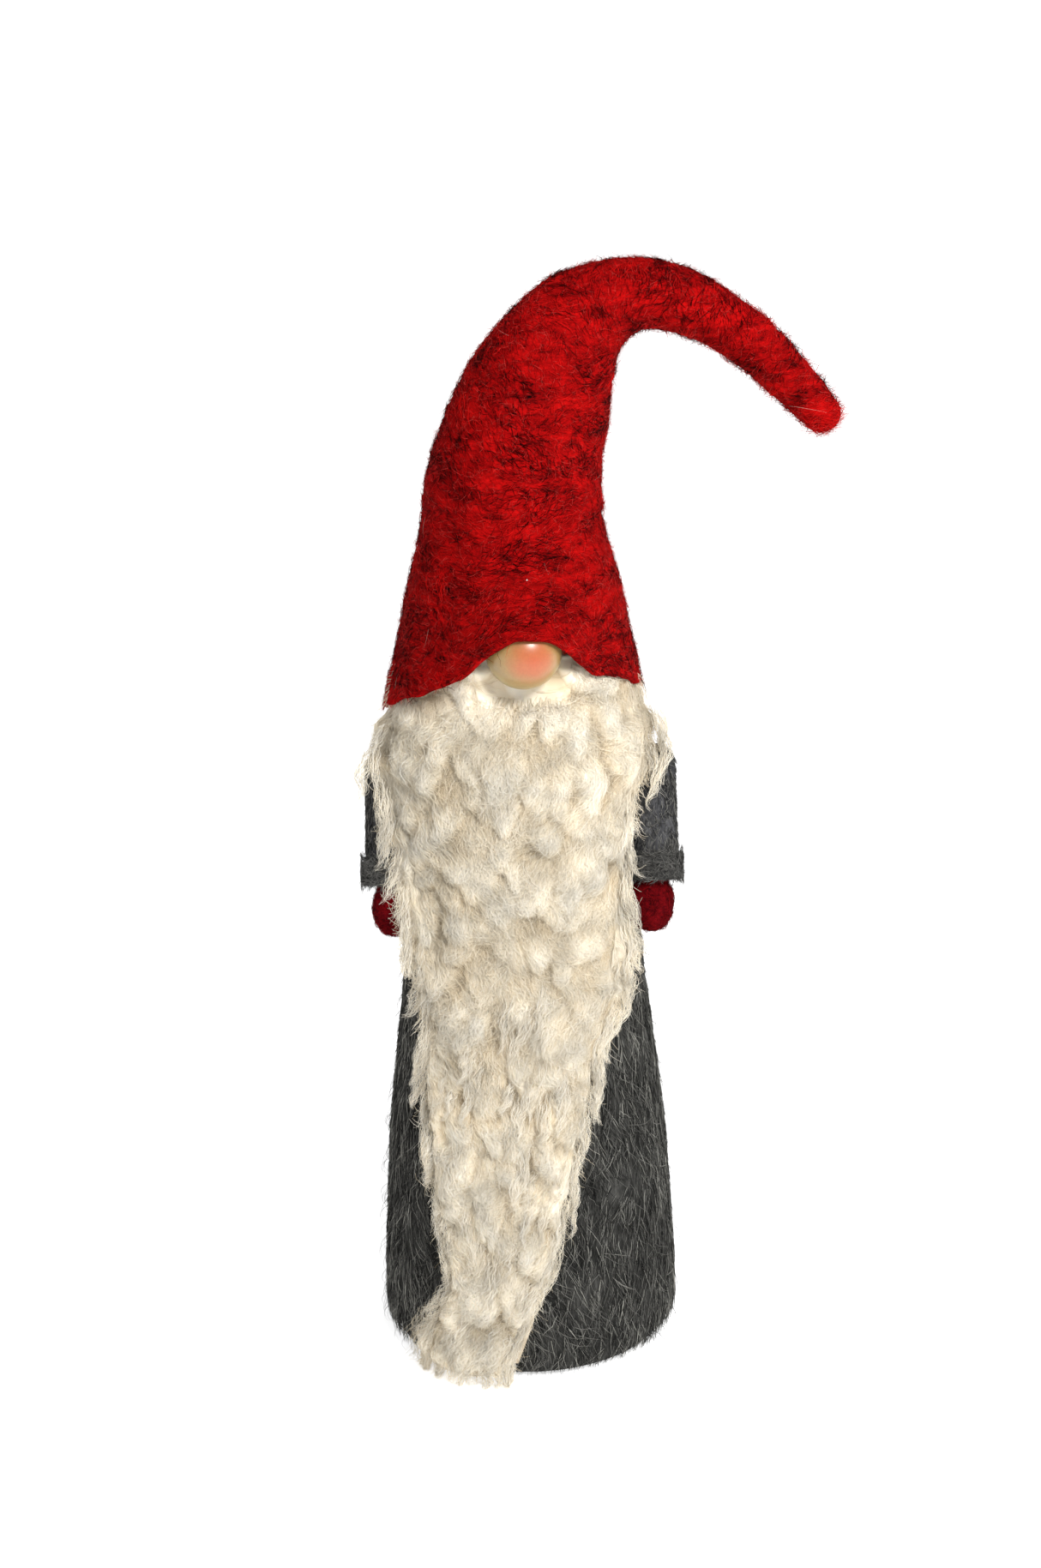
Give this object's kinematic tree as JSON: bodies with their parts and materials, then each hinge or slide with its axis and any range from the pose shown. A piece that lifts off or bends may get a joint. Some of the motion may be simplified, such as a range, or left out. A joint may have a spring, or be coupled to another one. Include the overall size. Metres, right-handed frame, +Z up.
{
  "type": "gnome figurine",
  "caption": "Tall standing felt gnome figurine with a bent pointed hat, ball nose, long wool beard, and small hanging arms with mittens.",
  "frame": {"origin": "centre of the flat base, on the floor", "axes": "+Z up, the nose and beard face -Y, +X to the right of someone who faces the figure, which is the side the hat's tip points to"},
  "size_m": [0.2576, 0.1806, 0.6004],
  "materials": {
    "base_cloth": "matte",
    "base_board": "matte",
    "dark_thread": "matte",
    "sand_bag": "matte",
    "sand_fill": "matte",
    "body_stuffing": "matte",
    "coat_wool": "matte",
    "nose_ball": "satin",
    "nose_peg": "matte",
    "red_felt": "matte",
    "hat_stuffing": "matte",
    "hat_wire": "satin",
    "tip_core": "matte",
    "red_thread": "matte",
    "beard_hide": "matte",
    "fleece": "matte",
    "pale_thread": "matte",
    "sleeve_wool": "matte",
    "arm_stuffing": "matte",
    "cuff_wool": "matte",
    "mitten_felt": "matte"
  },
  "bodies": {
    "body": {"base_cloth": "base_cloth", "base_board": "base_board", "base_stitches": "dark_thread", "sand_bag": "sand_bag", "sand_fill": "sand_fill", "body_stuffing": "body_stuffing", "coat": "coat_wool", "nose": "nose_ball", "nose_peg": "nose_peg", "hat_crown": "red_felt", "hat_stuffing": "hat_stuffing", "hat_wire_crown": "hat_wire", "hat_crook": "red_felt", "hat_wire_bend": "hat_wire", "hat_tack_right": "red_thread", "hat_tack_back": "red_thread", "hat_tack_left": "red_thread", "beard_thread": "pale_thread", "arm_thread_left": "dark_thread", "arm_thread_right": "dark_thread"},
    "tip": {"hat_tip": "red_felt", "hat_tip_core": "tip_core", "hat_wire_tip": "hat_wire"},
    "beard": {"beard_backing": "beard_hide", "beard_fleece": "fleece"},
    "arm_left": {"sleeve_left": "sleeve_wool", "arm_stuffing_left": "arm_stuffing", "cuff_left": "cuff_wool", "mitten_left": "mitten_felt"},
    "arm_right": {"sleeve_right": "sleeve_wool", "arm_stuffing_right": "arm_stuffing", "cuff_right": "cuff_wool", "mitten_right": "mitten_felt"}
  },
  "joints": [
    {"name": "hat_tip_bend", "type": "hinge", "parent": "body", "child": "tip", "pos_m": [0.0402, 0, 0.57205], "axis": [0, 1, 0], "range_deg": [-30, 20], "deforming": ["hat_crook", "hat_wire_bend"]},
    {"name": "beard_lift", "type": "hinge", "parent": "body", "child": "beard", "pos_m": [0, -0.05464, 0.38615], "axis": [-1, 0, 0], "range_deg": [0, 30]},
    {"name": "arm_left_lift", "type": "hinge", "parent": "body", "child": "arm_left", "pos_m": [-0.05898, -0.014, 0.3416], "axis": [0, 1, 0], "range_deg": [0, 60]},
    {"name": "arm_right_lift", "type": "hinge", "parent": "body", "child": "arm_right", "pos_m": [0.05898, -0.014, 0.3416], "axis": [0, -1, 0], "range_deg": [0, 60]}
  ]
}
